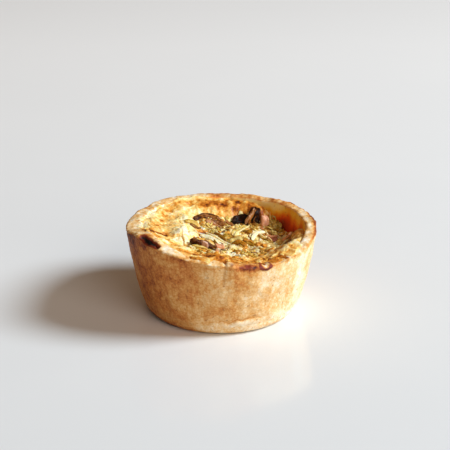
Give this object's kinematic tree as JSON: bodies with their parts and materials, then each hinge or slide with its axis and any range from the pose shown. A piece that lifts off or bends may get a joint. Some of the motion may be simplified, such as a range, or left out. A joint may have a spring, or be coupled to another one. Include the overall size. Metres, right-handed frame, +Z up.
{
  "type": "quiche",
  "caption": "Small deep round quiche: a flared shortcrust cup with an uneven rim, filled with baked egg and topped with mushroom, ham, onion and leek.",
  "frame": {"origin": "middle of the flat underside, under the centre of the crust's outline", "axes": "+Z up out of the filling; the low front of the rim is towards -Y and the deep end of the filling towards +X"},
  "size_m": [0.0802, 0.0796, 0.0406],
  "materials": {
    "pastry": "dry baked shortcrust, pale golden with browned edges",
    "filling": "baked egg and cheese, creamy yellow with toasted patches, slightly moist",
    "mushroom": "cooked mushroom, near black to brown, moist",
    "ham": "cooked ham, dull pink with browned edges",
    "onion": "cooked onion, pale cream, slightly translucent",
    "leek": "cooked leek, pale green to olive, moist"
  },
  "bodies": {
    "root": {"crust": "pastry", "filling": "filling", "mushroom_back": "mushroom", "mushroom_middle": "mushroom", "mushroom_front": "mushroom", "mushroom_side": "mushroom", "mushroom_cap": "mushroom", "ham_cube_1": "ham", "ham_cube_2": "ham", "ham_cube_3": "ham", "ham_cube_4": "ham", "onion_slice_1": "onion", "onion_slice_2": "onion", "onion_slice_3": "onion", "leek_strip_1": "leek", "leek_strip_2": "leek", "leek_strip_3": "leek", "leek_strip_4": "leek", "leek_strip_5": "leek"}
  },
  "joints": []
}
